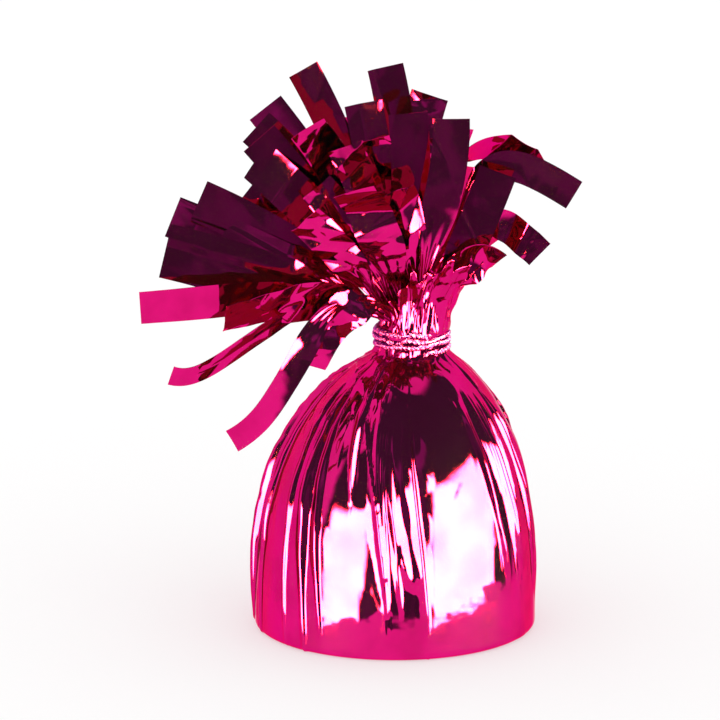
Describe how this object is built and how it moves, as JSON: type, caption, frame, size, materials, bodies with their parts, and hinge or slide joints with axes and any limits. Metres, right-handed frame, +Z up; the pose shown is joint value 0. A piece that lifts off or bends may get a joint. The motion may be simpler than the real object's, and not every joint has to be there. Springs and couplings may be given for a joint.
{
  "type": "balloon weight",
  "caption": "Foil-wrapped balloon weight: a sand-filled bell in pleated metallised film, tied at the neck under a splayed foil fringe, to hold ribbons of balloons down.",
  "frame": {"origin": "centre of the flat base, on the surface that it stands on", "axes": "+Z up through the neck, +X to the right and +Y away from someone who faces the smooth front panel"},
  "size_m": [0.0996, 0.0832, 0.1288],
  "materials": {
    "foil": "mirror-bright metallised film in magenta",
    "tie_thread": "glittering metallic thread",
    "bell_plastic": "moulded",
    "sand": "dry grains"
  },
  "bodies": {
    "root": {"base_plug": "bell_plastic", "foil_ruff": "foil", "foil_wrap": "foil", "neck_core": "foil", "neck_tie": "tie_thread", "sand_fill": "sand", "streamer_back_01": "foil", "streamer_back_02": "foil", "streamer_back_03": "foil", "streamer_back_04": "foil", "streamer_back_05": "foil", "streamer_back_06": "foil", "streamer_back_07": "foil", "streamer_back_08": "foil", "streamer_back_09": "foil", "streamer_back_10": "foil", "streamer_back_11": "foil", "streamer_back_12": "foil", "streamer_back_13": "foil", "streamer_centre_crest": "foil", "streamer_centre_front": "foil", "streamer_centre_left": "foil", "streamer_centre_low": "foil", "streamer_centre_mid": "foil", "streamer_centre_right": "foil", "streamer_centre_up": "foil", "streamer_front_low": "foil", "streamer_front_upright": "foil", "streamer_left_curl": "foil", "streamer_left_fan_back": "foil", "streamer_left_fan_high": "foil", "streamer_left_fan_low": "foil", "streamer_left_fan_mid": "foil", "streamer_left_long": "foil", "streamer_low_left_crumple": "foil", "streamer_low_left_curl": "foil", "streamer_low_left_wave": "foil", "streamer_right_arch": "foil", "streamer_right_long": "foil", "streamer_right_low": "foil", "streamer_right_mid": "foil", "streamer_right_short": "foil", "streamer_right_tall": "foil", "streamer_top_fold": "foil", "streamer_top_left": "foil", "streamer_top_right": "foil", "streamer_top_right_back": "foil", "streamer_upper_left_back": "foil", "streamer_upper_left_front": "foil", "streamer_upper_left_mid": "foil", "weight_bell": "bell_plastic"}
  },
  "joints": []
}
